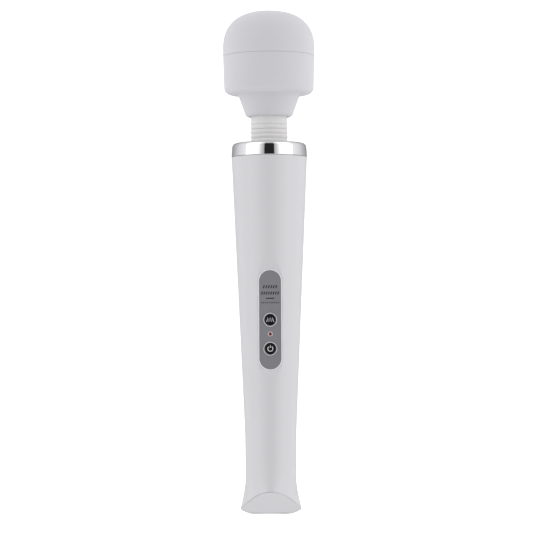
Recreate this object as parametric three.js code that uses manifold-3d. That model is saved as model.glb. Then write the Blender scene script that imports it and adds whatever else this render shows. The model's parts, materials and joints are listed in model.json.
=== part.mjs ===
// A cordless handheld wand massager, lying on its back with its controls facing up.
//
// Every piece is first placed in the wand's own frame: X to the right, Y to the back and Z along the
// wand, from the tail at 0 to the top of the head. The controls are placed in the frame of the flat land
// they sit on: X to the right, Y towards the head and Z out of the land. The wand is then laid down, so
// that it rests on the flat at its tail and on its head, with its length along Y.

import * as THREE from 'three';
import { mergeVertices } from 'three/addons/utils/BufferGeometryUtils.js';
import Module from 'manifold-3d';

const wasm = await Module();
wasm.setup();

// ---- Sizes, in millimetres and degrees ----

const GAP = 0.3; // air between two pieces that meet
const FIT = 0.2; // air round a pin, a screw or a key in its hole
const OVERRUN = 1; // how far a cutting solid runs past the piece it cuts

const HANDLE = { length: 226.2, gripRadius: 15.95, taper: 0.0445, taperStart: 47.3, taperBlend: 8, wall: 2 };
const TAIL = { flareStart: 29, flareLength: 25.5, flarePower: 1.5, slant: 24, restDepth: 14.3 };
TAIL.plate = 2.4;
TAIL.plug = 3;
// The tail's section: each face's angle from the front, and how far it stands outside the grip's radius.
TAIL.faces = [[0, 1.6], [54, -3.4], [-54, -3.4], [133.5, 3.6], [-133.5, 3.6], [180, -1]];
TAIL.cornerPower = 12;

const RING = { radius: 24, height: 8.8, crown: 0.6, cornerRadius: 2.6, wall: 2.8, spigot: 5.5, spigotWall: 1.7 };
RING.collarWall = 2.15;
const NECK = { radius: 11.6, bore: 6.5, exposed: 16.4, ribPitch: 3, ribDepth: 0.5, play: 0.45 };
NECK.flange = { overhang: 3.7, thickness: 2.7 };
const BASE = { height: 7.4, neckHeight: 3.5, neckRadius: 19.2, tube: 2, rim: 4.4, floor: 2.5 };
const BASE_RIB = { height: 2.5, depth: 2.5 };

const SKIRT = { height: 13.6, lipOverhang: 3.7, topOverhang: 7.7, lipRadius: 2.6 };
SKIRT.valley = { width: 0.5, depth: 0.6 };
const HEAD = { radius: 29.2, silicone: 3.4, domeHeight: 25.2, domePower: 2.5, capHeight: 28.7 };
const SLEEVE = { height: 25.1, step: 0.2, draft: 0.5, cornerRadius: 4.6, conicity: 0.3, floor: 2.2 };
const CORE = { wall: 2, floor: 2.2, chamfer: 1.6, splitBelowSeam: 4, spigot: { height: 4, thickness: 1.5 } };
const CLAMP = { thickness: 2.5, screwCount: 3 };
const CLAMP_SCREW = { radius: 0.95, length: 7.6, headRadius: 1.9, headHeight: 1.5 };

const MOTOR = { radius: 11.9, bell: 4.5, can: 21.9, canWall: 1, noseRadius: 3.6, noseHeight: 1.6 };
MOTOR.magnet = 2.2;
MOTOR.armature = { airGap: 0.6, length: 14 };
MOTOR.bearing = { radius: 2.7, length: 2.4 };
const SHAFT = { radius: 1, play: 0.12, reach: 9.6 };
const WEIGHT = { radius: 10, hubRadius: 3.8, height: 7.5 };
const GRUB = { radius: 0.9, length: 2.1 };
const DAMPER = { height: 4, lift: 1.2 };

const PANEL = { centre: 122.95, length: 63.1, radius: 6.75, thickness: 1.4 };
PANEL.bezel = { width: 0.45, proud: 0.15 };
PANEL.pad = { overhang: 1.4, thickness: 3.4 };
PANEL.ledge = 1.9;
// How far the sloped walls beyond the land's two ends run out for each millimetre that they rise.
PANEL.slopeAbove = 4.07;
PANEL.slopeBelow = 2.14;
const BUTTON = { radius: 3.7, proud: 0.7, play: 0.25, edge: 0.4, travel: 0.5 };
BUTTON.flange = { radius: 5.3, thickness: 0.7 };
BUTTON.ring = { width: 0.45, proud: 0.15 };
const MODE_BUTTON_AT = 0;
const POWER_BUTTON_AT = -18.2;
const LED = { at: -8.95, radius: 1, proud: 0.25, ringWidth: 0.4, chip: [1.6, 0.8, 0.5] };
const SWITCH = { side: 6, height: 1.9, stemRadius: 1.6, stemHeight: 1.6, floor: 0.25, reserve: 0.1 };
const BOARD = { width: 16.4, length: 63, thickness: 1, corner: 1.5, postRadius: 1.2, postInset: 1 };

const CELL = { radius: 9.15, length: 50, count: 2, noseRadius: 3, noseHeight: 1, start: 52 };
const TRAY = { wall: 0.8, end: 1, spread: 110, ribCount: 3, ribThickness: 2, ribDepth: 7 };
const CONTACT_PLATE = { radius: 6, thickness: 0.4 };
const PORT = { at: 40, length: 12, radius: 3, depth: 3, pinRadius: 1.2, pinSpacing: 5.6, pinLength: 4.5 };
PORT.recess = 0.25;

const BOSS = { frontRadius: 3.6, backRadius: 4.6, floor: 2.2, split: 2, pilot: 10, fromTail: 24, fromTop: 28 };
const SHELL_SCREW = { radius: 1.3, length: 10, headRadius: 2.6, headHeight: 1.9, well: 3.2 };
const PLUG = { length: 4, recess: 0.4 };
const LEAD = { thin: 0.7, thick: 0.9, clear: 2, apart: 3, bend: 3 };

const SIDES = { handle: 28, head: 28, cavity: 28, core: 20, neck: 14, small: 10, lead: 6 };

// ---- Places along the wand ----

const ringBottom = HANDLE.length + GAP;
const ringTop = ringBottom + RING.height + RING.crown;
const skirtBottom = ringTop + NECK.exposed;
const underside = skirtBottom + SKIRT.height;
const seam = underside + SLEEVE.height;
const headTop = seam + GAP + HEAD.capHeight;
const domeFoot = headTop - HEAD.domeHeight;
const neckMiddle = (ringTop + skirtBottom) / 2;

const spigotBottom = ringBottom - RING.spigot;
const baseTop = spigotBottom - GAP;
const baseBottom = baseTop - BASE.height;
const lowerFlangeBottom = baseTop + BASE.neckHeight + GAP;
const coreBottom = underside + SLEEVE.floor + GAP;
const coreFloor = coreBottom + CORE.floor;
const coreSplit = seam - CORE.splitBelowSeam;
const upperFlangeTop = coreBottom - GAP;
const clampTop = upperFlangeTop - NECK.flange.thickness - GAP;
const clampBottom = clampTop - CLAMP.thickness;
const bellBottom = coreFloor + GAP + CLAMP_SCREW.headHeight + GAP;
const canBottom = bellBottom + MOTOR.bell + GAP;
const canTop = canBottom + MOTOR.can;
const weightBottom = canTop + MOTOR.noseHeight + 3 * GAP;

const passage = NECK.radius + NECK.play;
const flangeRadius = NECK.radius + NECK.flange.overhang;
const siliconeInside = HEAD.radius - HEAD.silicone;
const coreRadius = siliconeInside - GAP;
const coreInside = coreRadius - CORE.wall;

const degrees = THREE.MathUtils.degToRad;

// The handle narrows evenly from the ring, then runs at the grip's radius to the tail.
function handleRadius(height) {
  const run = height - HANDLE.taperStart;
  return HANDLE.gripRadius + (HANDLE.taper * (run + Math.hypot(run, HANDLE.taperBlend))) / 2;
}

// Near the tail the round section grows into a rounded shape with faces.
function sectionRadius(angle, height) {
  const round = handleRadius(height);
  const flare = Math.max(0, (TAIL.flareStart - height) / TAIL.flareLength) ** TAIL.flarePower;
  const pull = TAIL.faces.reduce((sum, [facing, out]) => {
    const toward = Math.max(0, Math.cos(angle - degrees(facing)));
    return sum + (toward / (HANDLE.gripRadius + out)) ** TAIL.cornerPower;
  }, 0);
  return round + flare * (pull ** (-1 / TAIL.cornerPower) - round);
}

// ---- The land for the controls, and the plane that the wand rests on ----

const landHalfWidth = PANEL.radius + GAP + PANEL.bezel.width;
const landDepthAt = (height) => Math.sqrt(handleRadius(height) ** 2 - landHalfWidth ** 2);
const landTilt = Math.atan((landDepthAt(PANEL.centre + 1) - landDepthAt(PANEL.centre - 1)) / 2);
const panelFrame = new THREE.Matrix4()
  .makeRotationX(Math.PI / 2 + landTilt)
  .setPosition(0, -landDepthAt(PANEL.centre), PANEL.centre);

// The head's widest outline points: the wand lies on the tail's resting edge and the first of them to touch.
const sleeveTopRadius = HEAD.radius - SLEEVE.step;
const sleeveFootRadius = sleeveTopRadius - SLEEVE.draft;
const sleeveFoot = underside + SLEEVE.conicity + SLEEVE.cornerRadius;
const headTouch = [[HEAD.radius, seam + GAP], [sleeveTopRadius, seam], [sleeveFootRadius, sleeveFoot]]
  .map(([radius, height]) => (radius - TAIL.restDepth) / height);
const restTilt = Math.atan(Math.max(...headTouch));

const FRONT = new THREE.Vector3(0, -1, 0);
const BACK = new THREE.Vector3(0, 1, 0);
const slant = degrees(TAIL.slant);
const towardHead = new THREE.Vector3(0, Math.sin(slant), Math.cos(slant));
const restNormal = new THREE.Vector3(0, Math.cos(restTilt), -Math.sin(restTilt));
const tailEdge = new THREE.Vector3(0, TAIL.restDepth, 0);

// ---- Solids: a three.js geometry in, a three.js geometry out ----

function toSolid(geometry) {
  const bare = geometry.clone();
  bare.deleteAttribute('normal');
  bare.deleteAttribute('uv');
  const merged = mergeVertices(bare, 1e-4);
  const corners = merged.index.array;
  const kept = [];
  for (let i = 0; i < corners.length; i += 3) {
    const [a, b, c] = [corners[i], corners[i + 1], corners[i + 2]];
    if (a !== b && b !== c && c !== a) kept.push(a, b, c);
  }
  const vertProperties = Float32Array.from(merged.attributes.position.array);
  const triVerts = Uint32Array.from(kept);
  return new wasm.Manifold(new wasm.Mesh({ numProp: 3, vertProperties, triVerts }));
}

function toGeometry(solid) {
  const mesh = solid.getMesh();
  const geometry = new THREE.BufferGeometry();
  geometry.setAttribute('position', new THREE.BufferAttribute(Float32Array.from(mesh.vertProperties), 3));
  geometry.setIndex(new THREE.BufferAttribute(Uint32Array.from(mesh.triVerts), 1));
  geometry.computeVertexNormals();
  return geometry;
}

const combine = (first, others, step) =>
  toGeometry(others.reduce((sum, other) => step(sum, toSolid(other)), toSolid(first)));
const join = (first, ...others) => combine(first, others, (a, b) => a.add(b));
const cut = (first, ...others) => combine(first, others, (a, b) => a.subtract(b));
const common = (first, ...others) => combine(first, others, (a, b) => a.intersect(b));

// A solid of revolution about Z, from its outline of [radius, height] points, in either direction.
function turned(outline, sides = SIDES.small) {
  const points = outline.map(([radius, height]) => new THREE.Vector2(radius, height));
  const onAxis = outline[0][0] === 0 && outline.at(-1)[0] === 0;
  if (THREE.ShapeUtils.area(points) < 0) points.reverse();
  if (!onAxis) points.push(points[0].clone());
  return new THREE.LatheGeometry(points, sides).rotateX(Math.PI / 2);
}

const rod = (radius, from, to, sides = SIDES.small) =>
  turned([[0, from], [radius, from], [radius, to], [0, to]], sides);
const washer = (inner, outer, from, to, sides = SIDES.small) =>
  turned([[inner, from], [outer, from], [outer, to], [inner, to]], sides);
const crossRod = (radius, from, to, height) =>
  rod(radius, from, to).rotateX(-Math.PI / 2).translate(0, 0, height);
const prism = (shape, from, to, curveSegments = 6) =>
  new THREE.ExtrudeGeometry(shape, { depth: to - from, bevelEnabled: false, curveSegments }).translate(0, 0, from);
const box = (x, y, from, to) => new THREE.BoxGeometry(x, y, to - from).translate(0, 0, (from + to) / 2);
const onPanel = (geometry) => geometry.applyMatrix4(panelFrame);

// Everything on one side of a plane, as a block that is larger than the wand.
function beyond(point, direction) {
  const size = 4 * headTop;
  const turn = new THREE.Quaternion().setFromUnitVectors(new THREE.Vector3(0, 0, 1), direction);
  return box(size, size, 0, size).applyQuaternion(turn).translate(point.x, point.y, point.z);
}

const alongTail = (distance) => tailEdge.clone().addScaledVector(towardHead, distance);
const slab = (from, to) => box(4 * RING.radius, 4 * RING.radius, from, to);
const frontHalf = () => beyond(FRONT.clone().multiplyScalar(GAP / 2), FRONT);
const backHalf = () => beyond(BACK.clone().multiplyScalar(GAP / 2), BACK);

// A stadium outline along Y, the whole length long.
function stadium(radius, length) {
  const straight = length / 2 - radius;
  const shape = new THREE.Shape();
  shape.moveTo(radius, -straight);
  shape.absarc(0, straight, radius, 0, Math.PI, false);
  shape.absarc(0, -straight, radius, Math.PI, 2 * Math.PI, false);
  return shape;
}

// Points along a rounded corner of an outline, between two angles about its centre.
const corner = (radius, height, size, from, to, steps = 4) =>
  Array.from({ length: steps + 1 }, (_, i) => {
    const angle = degrees(from + ((to - from) * i) / steps);
    return [radius + size * Math.cos(angle), height + size * Math.sin(angle)];
  });

// Points down a dome, from its top on the axis to its foot.
const dome = (radius, rise, foot, steps) =>
  Array.from({ length: steps + 1 }, (_, i) => {
    const angle = (Math.PI / 2) * (1 - i / steps);
    const power = 2 / HEAD.domePower;
    const across = i === 0 ? 0 : radius * Math.cos(angle) ** power;
    return [across, foot + rise * Math.sin(angle) ** power];
  });

// A round lead through a list of points.
function lead(radius, points) {
  const path = new THREE.CatmullRomCurve3(points.map(([x, y, z]) => new THREE.Vector3(x, y, z)));
  const section = new THREE.Shape().absarc(0, 0, radius, 0, 2 * Math.PI, false);
  const steps = Math.ceil(path.getLength() / (6 * radius));
  return new THREE.ExtrudeGeometry(section, { steps, curveSegments: SIDES.lead / 2, extrudePath: path });
}

// ---- Finishes ----

const finish = (color, roughness, metalness = 0) => new THREE.MeshStandardMaterial({ color, roughness, metalness });
const silicone = finish(0xd2d1d6, 0.62);
const neckRubber = finish(0xdddcdb, 0.55);
const glossWhite = finish(0xdcdadd, 0.22);
const chrome = finish(0xd8d8da, 0.08, 1);
const panelGrey = finish(0x77767c, 0.5);
const rimGrey = finish(0xb9b9bf, 0.35);
const black = finish(0x0b0c0c, 0.25);
const ledRed = finish(0x7c1c1f, 0.2);
const corePlastic = finish(0xc9c7c2, 0.5);
const steel = finish(0xa4a6a8, 0.35, 1);
const brass = finish(0xb58d45, 0.35, 1);
const copper = finish(0xa8643c, 0.4, 1);
const boardGreen = finish(0x1f5a38, 0.5);
const cellBlue = finish(0x2b5aa0, 0.4);
const darkRubber = finish(0x232325, 0.8);
const leadRed = finish(0xa01c1c, 0.5);

const wand = new THREE.Group();
const controls = new THREE.Group();
controls.applyMatrix4(panelFrame);
wand.add(controls);

function piece(name, geometry, material, group = wand) {
  const mesh = new THREE.Mesh(geometry, material);
  mesh.name = name;
  group.add(mesh);
}
const control = (name, geometry, material) => piece(name, geometry, material, controls);

// ---- The handle's two shells and its tail ----

// The handle's solid form, drawn in by an inset: a turned solid whose tail is then given its faces.
function handleForm(inset, top, sides) {
  const heights = [-3, 4, 11, 19, 29, 42, 60].filter((z) => z < top - 5);
  const outline = [...heights, top].map((height) => [handleRadius(height) - inset, height]);
  const form = turned([[0, heights[0]], ...outline, [0, top]], sides);
  const place = form.attributes.position;
  for (let i = 0; i < place.count; i += 1) {
    const [x, y, z] = [place.getX(i), place.getY(i), place.getZ(i)];
    const radius = Math.hypot(x, y);
    if (radius > 1e-6) {
      const wanted = sectionRadius(Math.atan2(x, -y), z) - inset;
      place.setXY(i, (x * wanted) / radius, (y * wanted) / radius);
    }
  }
  return form;
}

const outside = common(
  handleForm(0, HANDLE.length, SIDES.handle),
  beyond(tailEdge, towardHead),
  beyond(tailEdge, restNormal.clone().negate())
);
const cavity = handleForm(HANDLE.wall, HANDLE.length + OVERRUN, SIDES.cavity);
const plateInside = alongTail(TAIL.plate);
const shellStart = alongTail(TAIL.plate + GAP);

function makeTailCap() {
  const plate = cut(outside, beyond(plateInside, towardHead));
  const plugForm = cut(
    handleForm(HANDLE.wall + GAP, HANDLE.length, SIDES.cavity),
    beyond(alongTail(TAIL.plate + TAIL.plug), towardHead)
  );
  const plug = common(plugForm, beyond(alongTail(TAIL.plate / 2), towardHead));
  piece('tail_cap', join(plate, plug), glossWhite);
}

const wall = cut(common(outside, beyond(shellStart, towardHead)), cavity);
const bossHeights = [BOSS.fromTail, HANDLE.length - BOSS.fromTop];
const baseRib = () =>
  cut(common(slab(baseBottom - GAP - BASE_RIB.height, baseBottom - GAP), outside),
    rod(handleRadius(baseBottom) - HANDLE.wall - BASE_RIB.depth, 0, HANDLE.length, SIDES.cavity));

// The recess in the handle's front: the land is flush at its sides and has a sloped wall at each end.
function landRecess() {
  const straight = PANEL.length / 2 - PANEL.radius;
  const height = 3;
  const end = (slope, at) => turned([[0, 0], [landHalfWidth, 0],
    [landHalfWidth + slope * height, height], [0, height]], SIDES.cavity).translate(0, at, 0);
  const middle = box(2 * (landHalfWidth + GAP), 2 * straight, 0, height);
  return join(middle, end(PANEL.slopeAbove, straight), end(PANEL.slopeBelow, -straight));
}

function makeFrontShell() {
  const padRadius = landHalfWidth + PANEL.pad.overhang;
  const padLength = PANEL.length + 2 * (padRadius - PANEL.radius);
  const pad = common(onPanel(prism(stadium(padRadius, padLength), -PANEL.pad.thickness, OVERRUN)), outside);
  const posts = [[-1, -1], [-1, 1], [1, -1], [1, 1]].map(([right, up]) => {
    const across = padRadius - BOARD.postRadius - FIT - BOARD.postInset;
    const top = -PANEL.pad.thickness + FIT;
    const bottom = -boardTop + GAP;
    const along = PANEL.length / 2 - PANEL.radius + 2 * BOARD.postRadius;
    return onPanel(rod(BOARD.postRadius, bottom, top).translate(right * across, up * along, 0));
  });
  const bosses = bossHeights.map((height) =>
    common(crossRod(BOSS.frontRadius, -RING.radius, BOSS.split, height), outside));
  const pilots = bossHeights.map((height) =>
    crossRod(SHELL_SCREW.radius + FIT, BOSS.split - BOSS.pilot, BOSS.split + OVERRUN, height));
  const pocketRadius = landHalfWidth + GAP;
  const grow = (radius) => PANEL.length + 2 * (radius - PANEL.radius);
  const throughRadius = pocketRadius - PANEL.ledge;
  const pocket = prism(stadium(pocketRadius, grow(pocketRadius)), -PANEL.thickness - GAP, OVERRUN);
  const through = prism(stadium(throughRadius, grow(throughRadius)), -PANEL.pad.thickness - OVERRUN, 0);
  const keyRooms = [MODE_BUTTON_AT, POWER_BUTTON_AT].map((at) =>
    onPanel(rod(BUTTON.flange.radius + GAP, -PANEL.pad.thickness - OVERRUN, -PANEL.thickness, SIDES.neck)
      .translate(0, at, 0)));
  const half = common(join(wall, baseRib()), frontHalf());
  const full = join(half, pad, ...bosses, ...posts);
  piece('front_shell', cut(full, ...pilots, ...keyRooms, onPanel(landRecess()), onPanel(pocket), onPanel(through)),
    glossWhite);
}

const portShape = (growth) => stadium(PORT.radius + growth, PORT.length + 2 * growth);
const acrossBack = (geometry, height) =>
  geometry.rotateZ(Math.PI / 2).rotateX(-Math.PI / 2).translate(0, 0, height);

function makeBackShell() {
  const headSeat = BOSS.split + GAP + BOSS.floor;
  const bosses = bossHeights.map((height) =>
    common(crossRod(BOSS.backRadius, BOSS.split + GAP, RING.radius, height), outside));
  const wells = bossHeights.map((height) =>
    crossRod(SHELL_SCREW.well, headSeat, RING.radius + OVERRUN, height));
  const holes = bossHeights.map((height) =>
    crossRod(SHELL_SCREW.radius + FIT, BOSS.split, headSeat + OVERRUN, height));
  const cradle = common(trayRibs(), outside);
  const portHole = acrossBack(prism(portShape(GAP), 0, RING.radius), PORT.at);
  const half = common(join(wall, baseRib()), backHalf());
  piece('back_shell', cut(join(half, cradle, ...bosses), ...wells, ...holes, portHole), glossWhite);
}

// ---- The battery and its tray ----

const trayStart = CELL.start - 2 * GAP - CONTACT_PLATE.thickness - TRAY.end;
const cellPitch = CELL.length + GAP;
const cellsEnd = CELL.start + CELL.count * cellPitch - GAP;
const trayEnd = cellsEnd + 2 * GAP + CONTACT_PLATE.thickness + TRAY.end;
const trayInside = CELL.radius + GAP;
const trayRadius = trayInside + TRAY.wall;
const cellBack = handleRadius(CELL.start) - HANDLE.wall - 2 * GAP - trayRadius;

function trayRibs() {
  const spacing = (trayEnd - trayStart) / TRAY.ribCount;
  const ribs = Array.from({ length: TRAY.ribCount }, (_, i) => {
    const middle = trayStart + spacing * (i + 0.5);
    return slab(middle - TRAY.ribThickness / 2, middle + TRAY.ribThickness / 2);
  });
  const seat = rod(trayRadius + GAP, 0, HANDLE.length, SIDES.core).translate(0, cellBack, 0);
  return cut(common(join(...ribs), beyond(new THREE.Vector3(0, TRAY.ribDepth, 0), BACK)), seat);
}

function makeBattery() {
  const spread = degrees(TRAY.spread);
  const trough = new THREE.Shape();
  trough.absarc(0, 0, trayRadius, Math.PI / 2 - spread, Math.PI / 2 + spread, false);
  trough.absarc(0, 0, trayInside, Math.PI / 2 + spread, Math.PI / 2 - spread, true);
  const lowEnd = rod(trayRadius, trayStart, trayStart + TRAY.end);
  const highEnd = rod(trayRadius, trayEnd - TRAY.end, trayEnd);
  const walls = common(join(lowEnd, highEnd), beyond(new THREE.Vector3(0, -trayRadius / 2, 0), BACK));
  const tray = join(prism(trough, trayStart, trayEnd, 12), walls);
  piece('battery_tray', tray.translate(0, cellBack, 0), corePlastic);
  const plate = (bottom) =>
    rod(CONTACT_PLATE.radius, bottom, bottom + CONTACT_PLATE.thickness).translate(0, cellBack, 0);
  piece('contact_plate_minus', plate(trayStart + TRAY.end + GAP), steel);
  piece('contact_plate_plus', plate(cellsEnd + GAP), steel);
  for (let i = 0; i < CELL.count; i += 1) {
    const bottom = CELL.start + i * cellPitch;
    const shoulder = bottom + CELL.length - CELL.noseHeight;
    const cell = turned([[0, bottom], [CELL.radius, bottom], [CELL.radius, shoulder], [CELL.noseRadius, shoulder],
      [CELL.noseRadius, bottom + CELL.length], [0, bottom + CELL.length]], SIDES.neck);
    piece(`battery_cell_${i + 1}`, cell.translate(0, cellBack, 0), cellBlue);
  }
}

// ---- The controls, in the frame of the land ----

const flangeTop = PANEL.thickness + GAP;
const flangeBottom = flangeTop + BUTTON.flange.thickness;
const stemTop = flangeBottom + GAP;
const switchTop = flangeBottom + BUTTON.travel + GAP + SWITCH.reserve;
const switchBottom = switchTop + SWITCH.height;
const boardTop = switchBottom + GAP;
const ringInside = BUTTON.radius + BUTTON.play;
const ringOutside = ringInside + BUTTON.ring.width;

function makePanel() {
  const rimInside = PANEL.radius + GAP;
  const rim = stadium(landHalfWidth, PANEL.length + 2 * (landHalfWidth - PANEL.radius));
  rim.holes.push(stadium(rimInside, PANEL.length + 2 * (rimInside - PANEL.radius)));
  control('panel_bezel', prism(rim, -PANEL.thickness, PANEL.bezel.proud), rimGrey);
  const hole = (radius, at) => rod(radius, -PANEL.thickness - OVERRUN, OVERRUN, SIDES.neck).translate(0, at, 0);
  const plate = cut(
    prism(stadium(PANEL.radius, PANEL.length), -PANEL.thickness, 0),
    hole(ringOutside + FIT, MODE_BUTTON_AT),
    hole(ringOutside + FIT, POWER_BUTTON_AT),
    hole(LED.radius + FIT + LED.ringWidth + FIT, LED.at)
  );
  control('control_panel', plate, panelGrey);
}

function makeButton(name, at) {
  const top = BUTTON.proud;
  const key = turned([[0, -flangeBottom], [BUTTON.flange.radius, -flangeBottom], [BUTTON.flange.radius, -flangeTop],
    [BUTTON.radius, -flangeTop], [BUTTON.radius, top - BUTTON.edge], [BUTTON.radius - BUTTON.edge, top], [0, top]],
    SIDES.neck);
  control(`${name}_button`, key.translate(0, at, 0), black);
  const ring = washer(ringInside, ringOutside, -PANEL.thickness, BUTTON.ring.proud, SIDES.neck);
  control(`${name}_button_ring`, ring.translate(0, at, 0), rimGrey);
  const stem = rod(SWITCH.stemRadius, -stemTop - SWITCH.stemHeight, -stemTop);
  control(`${name}_switch_stem`, stem.translate(0, at, 0), black);
  const well = rod(SWITCH.stemRadius + FIT, -switchBottom + SWITCH.floor, 0);
  const body = cut(box(SWITCH.side, SWITCH.side, -switchBottom, -switchTop), well);
  control(`${name}_switch`, body.translate(0, at, 0), darkRubber);
}

function makeIndicator() {
  const ringFrom = LED.radius + FIT;
  const ring = washer(ringFrom, ringFrom + LED.ringWidth, -PANEL.thickness, BUTTON.ring.proud);
  control('led_ring', ring.translate(0, LED.at, 0), rimGrey);
  const [across, along, high] = LED.chip;
  const chipTop = boardTop - GAP - high;
  const pipe = turned([[0, -chipTop + GAP], [LED.radius, -chipTop + GAP], [LED.radius, 0],
    [LED.radius * 0.6, LED.proud], [0, LED.proud]]);
  control('led_light_pipe', pipe.translate(0, LED.at, 0), ledRed);
  control('led_chip', box(across, along, -boardTop + GAP, -chipTop).translate(0, LED.at, 0), glossWhite);
}

function makeBoard() {
  const across = BOARD.width / 2 - BOARD.corner;
  const along = BOARD.length / 2 - BOARD.corner;
  const outline = new THREE.Shape();
  outline.absarc(across, along, BOARD.corner, 0, Math.PI / 2, false);
  outline.absarc(-across, along, BOARD.corner, Math.PI / 2, Math.PI, false);
  outline.absarc(-across, -along, BOARD.corner, Math.PI, 1.5 * Math.PI, false);
  outline.absarc(across, -along, BOARD.corner, 1.5 * Math.PI, 2 * Math.PI, false);
  control('control_board', prism(outline, -boardTop - BOARD.thickness, -boardTop, 3), boardGreen);
}

// ---- The ring, the neck and what holds them ----

function makeRing() {
  const spigotRadius = handleRadius(spigotBottom) - HANDLE.wall - GAP;
  const spigotInside = spigotRadius - RING.spigotWall;
  const rimTop = ringBottom + RING.height;
  const underTop = rimTop - RING.wall + RING.crown;
  const collar = passage + RING.collarWall;
  const size = RING.cornerRadius;
  const outline = [[passage, lowerFlangeBottom + NECK.flange.thickness + GAP],
    [collar, lowerFlangeBottom + NECK.flange.thickness + GAP], [collar, underTop], [spigotInside, underTop],
    [spigotInside, spigotBottom], [spigotRadius, spigotBottom], [spigotRadius, ringBottom],
    [RING.radius, ringBottom],
    ...corner(RING.radius - size, rimTop - size, size, 0, 90, 3), [passage, ringTop]];
  piece('chrome_ring', turned(outline, SIDES.handle), chrome);
}

function makeNeckBase() {
  const rimRadius = handleRadius(baseBottom) - HANDLE.wall - GAP;
  const tube = NECK.bore + BASE.tube;
  const top = baseTop + BASE.neckHeight;
  const outline = [[NECK.bore, baseBottom], [tube, baseBottom], [tube, top - BASE.floor],
    [rimRadius - BASE.rim, top - BASE.floor], [rimRadius - BASE.rim, baseBottom], [rimRadius, baseBottom],
    [rimRadius, baseTop], [BASE.neckRadius, baseTop], [BASE.neckRadius, top], [NECK.bore, top]];
  piece('neck_base', turned(outline, SIDES.core), corePlastic);
}

function makeBellows() {
  const valley = NECK.radius - NECK.ribDepth;
  const ribCount = Math.floor(NECK.exposed / NECK.ribPitch);
  const firstRib = neckMiddle - ((ribCount - 1) / 2) * NECK.ribPitch;
  const ribs = Array.from({ length: ribCount }, (_, i) => {
    const middle = firstRib + i * NECK.ribPitch;
    return [[valley, middle - NECK.ribPitch / 2], [NECK.radius, middle]];
  }).flat();
  const lowTop = lowerFlangeBottom + NECK.flange.thickness;
  const highBottom = upperFlangeTop - NECK.flange.thickness;
  const outline = [[NECK.bore, lowerFlangeBottom], [flangeRadius, lowerFlangeBottom], [flangeRadius, lowTop],
    [valley, lowTop], ...ribs, [valley, highBottom], [flangeRadius, highBottom],
    [flangeRadius, upperFlangeTop], [NECK.bore, upperFlangeTop]];
  const holes = clampScrewPlaces(CLAMP_SCREW.radius + FIT, highBottom - OVERRUN, upperFlangeTop + OVERRUN);
  piece('neck_bellows', cut(turned(outline, SIDES.neck), ...holes), neckRubber);
}

const clampCircle = (passage + flangeRadius) / 2;

function clampScrewPlaces(radius, from, to) {
  return Array.from({ length: CLAMP.screwCount }, (_, i) => {
    const angle = (2 * Math.PI * i) / CLAMP.screwCount;
    return rod(radius, from, to, 12).translate(clampCircle * Math.sin(angle), -clampCircle * Math.cos(angle), 0);
  });
}

function makeNeckClamp() {
  const holes = clampScrewPlaces(CLAMP_SCREW.radius + FIT, clampBottom - OVERRUN, clampTop + OVERRUN);
  piece('neck_clamp_ring', cut(washer(passage, flangeRadius, clampBottom, clampTop, SIDES.core), ...holes), steel);
  const seat = coreFloor + GAP;
  const shanks = clampScrewPlaces(CLAMP_SCREW.radius, seat - CLAMP_SCREW.length, seat + OVERRUN);
  const heads = clampScrewPlaces(CLAMP_SCREW.headRadius, seat, seat + CLAMP_SCREW.headHeight);
  shanks.forEach((shank, i) => piece(`clamp_screw_${i + 1}`, join(shank, heads[i]), steel));
}

// ---- The head ----

function makeSilicone() {
  const capRise = HEAD.domeHeight - HEAD.silicone;
  const cap = [...dome(HEAD.radius, HEAD.domeHeight, domeFoot, 8), [HEAD.radius, seam + GAP],
    [siliconeInside, seam + GAP], ...dome(siliconeInside, capRise, domeFoot, 4).reverse()];
  piece('head_cap', turned(cap, SIDES.head), silicone);

  const size = SLEEVE.cornerRadius;
  const skirtTop = NECK.radius + SKIRT.topOverhang;
  const skirtLip = NECK.radius + SKIRT.lipOverhang;
  const lip = SKIRT.lipRadius;
  const pocket = flangeRadius + GAP;
  const floor = underside + SLEEVE.floor;
  const sleeve = [[sleeveTopRadius, seam], ...corner(sleeveFootRadius - size, sleeveFoot, size, 0, -80),
    [skirtTop + SKIRT.valley.width, underside], [skirtTop, underside - SKIRT.valley.depth],
    ...corner(skirtLip - lip, skirtBottom + lip, lip, 20, -90), [passage, skirtBottom],
    [passage, clampBottom - GAP], [pocket, clampBottom - GAP], [pocket, floor],
    [siliconeInside - CORE.chamfer, floor], [siliconeInside, floor + CORE.chamfer], [siliconeInside, seam]];
  piece('head_sleeve', turned(sleeve, SIDES.head), silicone);
}

function makeCore() {
  const capRise = HEAD.domeHeight - HEAD.silicone - GAP;
  const spigotOut = coreInside - GAP;
  const spigotIn = spigotOut - CORE.spigot.thickness;
  const spigotBottomAt = coreSplit - CORE.spigot.height;
  const cap = [...dome(coreRadius, capRise, domeFoot, 4), [coreRadius, coreSplit + GAP],
    [spigotOut, coreSplit + GAP], [spigotOut, spigotBottomAt], [spigotIn, spigotBottomAt],
    [spigotIn, coreSplit + 2 * GAP], [coreInside, coreSplit + CORE.spigot.height],
    ...dome(coreInside, capRise - CORE.wall, domeFoot, 4).reverse()];
  piece('head_core_cap', turned(cap, SIDES.core), corePlastic);

  const cup = turned([[NECK.bore, coreBottom], [coreRadius - CORE.chamfer, coreBottom],
    [coreRadius, coreBottom + CORE.chamfer], [coreRadius, coreSplit], [coreInside, coreSplit],
    [coreInside, coreFloor + CORE.chamfer / 2], [coreInside - CORE.chamfer / 2, coreFloor],
    [NECK.bore, coreFloor]], SIDES.core);
  const holes = clampScrewPlaces(CLAMP_SCREW.radius + FIT, coreBottom - OVERRUN, coreFloor + OVERRUN);
  piece('head_core_cup', cut(cup, ...holes), corePlastic);
}

// ---- The motor and its weight ----

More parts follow.
